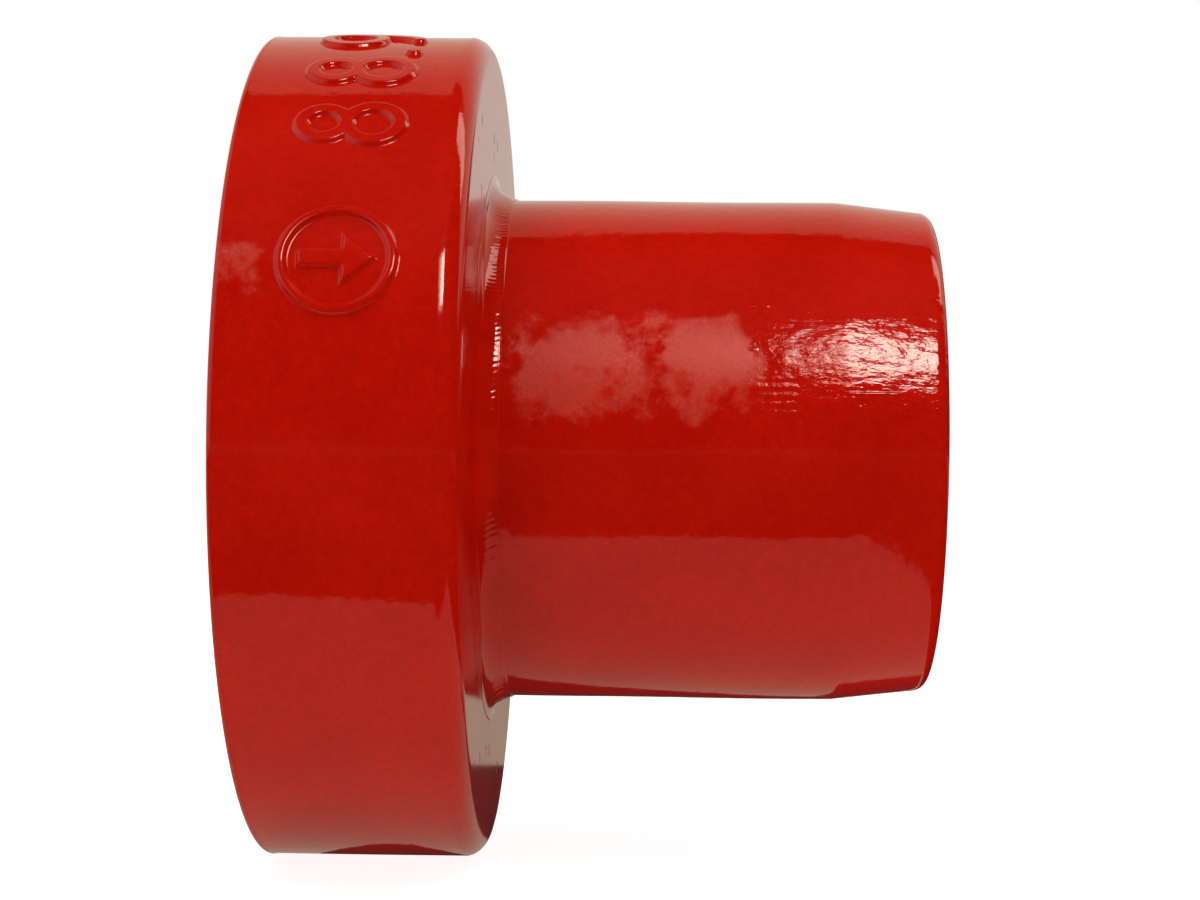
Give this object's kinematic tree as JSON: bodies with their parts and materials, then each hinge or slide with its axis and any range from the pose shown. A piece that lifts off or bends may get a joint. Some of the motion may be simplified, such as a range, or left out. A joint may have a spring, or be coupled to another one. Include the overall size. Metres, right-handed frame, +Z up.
{
  "type": "push-in coupling for grooved pipe",
  "caption": "Short wide red collar that grips and seals a grooved pipe end, with a smaller plain spigot tube welded to its back face.",
  "frame": {"origin": "centre of the collar's mouth plane, on the pipe axis", "axes": "+X along the pipe axis towards the spigot's free end, +Z up, -X out of the collar's mouth"},
  "size_m": [0.1154, 0.1456, 0.1456],
  "materials": {
    "red_enamel": "gloss",
    "plated_steel": "satin",
    "key_iron": "satin",
    "spring_steel": "satin",
    "seal_rubber": "matt",
    "ring_plastic": "satin"
  },
  "bodies": {
    "housing": {"collar": "red_enamel", "spigot_tube": "red_enamel", "weld_bead": "red_enamel", "cone_ring": "plated_steel", "cap_screw_1": "plated_steel", "cap_screw_2": "plated_steel", "cap_screw_3": "plated_steel", "cap_screw_4": "plated_steel", "cap_screw_5": "plated_steel", "cap_screw_6": "plated_steel", "gasket": "seal_rubber", "backup_ring": "ring_plastic", "wave_spring": "spring_steel"},
    "release_ring": {"release_ring": "ring_plastic"},
    "pusher_ring": {"pusher_ring": "plated_steel"},
    "lock_key_1": {"lock_key_1": "key_iron"},
    "lock_key_2": {"lock_key_2": "key_iron"},
    "lock_key_3": {"lock_key_3": "key_iron"},
    "lock_key_4": {"lock_key_4": "key_iron"},
    "lock_key_5": {"lock_key_5": "key_iron"},
    "lock_key_6": {"lock_key_6": "key_iron"},
    "lock_key_7": {"lock_key_7": "key_iron"},
    "lock_key_8": {"lock_key_8": "key_iron"}
  },
  "joints": [
    {"name": "release_slide", "type": "slide", "parent": "housing", "child": "release_ring", "axis": [1, 0, 0], "range_m": [0, 0.004], "stiffness_N_per_m": 2500, "springref_m": -0.002},
    {"name": "pusher_slide", "type": "slide", "parent": "housing", "child": "pusher_ring", "axis": [1, 0, 0], "range_m": [0, 0.004], "deforming": ["wave_spring"]},
    {"name": "lock_key_1_slide", "type": "slide", "parent": "housing", "child": "lock_key_1", "axis": [0.8988, -0.1678, 0.405], "range_m": [0, 0.00445]},
    {"name": "lock_key_2_slide", "type": "slide", "parent": "housing", "child": "lock_key_2", "axis": [0.8988, -0.405, 0.1678], "range_m": [0, 0.00445]},
    {"name": "lock_key_3_slide", "type": "slide", "parent": "housing", "child": "lock_key_3", "axis": [0.8988, -0.405, -0.1678], "range_m": [0, 0.00445]},
    {"name": "lock_key_4_slide", "type": "slide", "parent": "housing", "child": "lock_key_4", "axis": [0.8988, -0.1678, -0.405], "range_m": [0, 0.00445]},
    {"name": "lock_key_5_slide", "type": "slide", "parent": "housing", "child": "lock_key_5", "axis": [0.8988, 0.1678, -0.405], "range_m": [0, 0.00445]},
    {"name": "lock_key_6_slide", "type": "slide", "parent": "housing", "child": "lock_key_6", "axis": [0.8988, 0.405, -0.1678], "range_m": [0, 0.00445]},
    {"name": "lock_key_7_slide", "type": "slide", "parent": "housing", "child": "lock_key_7", "axis": [0.8988, 0.405, 0.1678], "range_m": [0, 0.00445]},
    {"name": "lock_key_8_slide", "type": "slide", "parent": "housing", "child": "lock_key_8", "axis": [0.8988, 0.1678, 0.405], "range_m": [0, 0.00445]}
  ],
  "couplings": [
    {"joint": "pusher_slide", "follows": "release_slide", "ratio": 1},
    {"joint": "lock_key_1_slide", "follows": "release_slide", "ratio": 1.1126},
    {"joint": "lock_key_2_slide", "follows": "release_slide", "ratio": 1.1126},
    {"joint": "lock_key_3_slide", "follows": "release_slide", "ratio": 1.1126},
    {"joint": "lock_key_4_slide", "follows": "release_slide", "ratio": 1.1126},
    {"joint": "lock_key_5_slide", "follows": "release_slide", "ratio": 1.1126},
    {"joint": "lock_key_6_slide", "follows": "release_slide", "ratio": 1.1126},
    {"joint": "lock_key_7_slide", "follows": "release_slide", "ratio": 1.1126},
    {"joint": "lock_key_8_slide", "follows": "release_slide", "ratio": 1.1126}
  ]
}
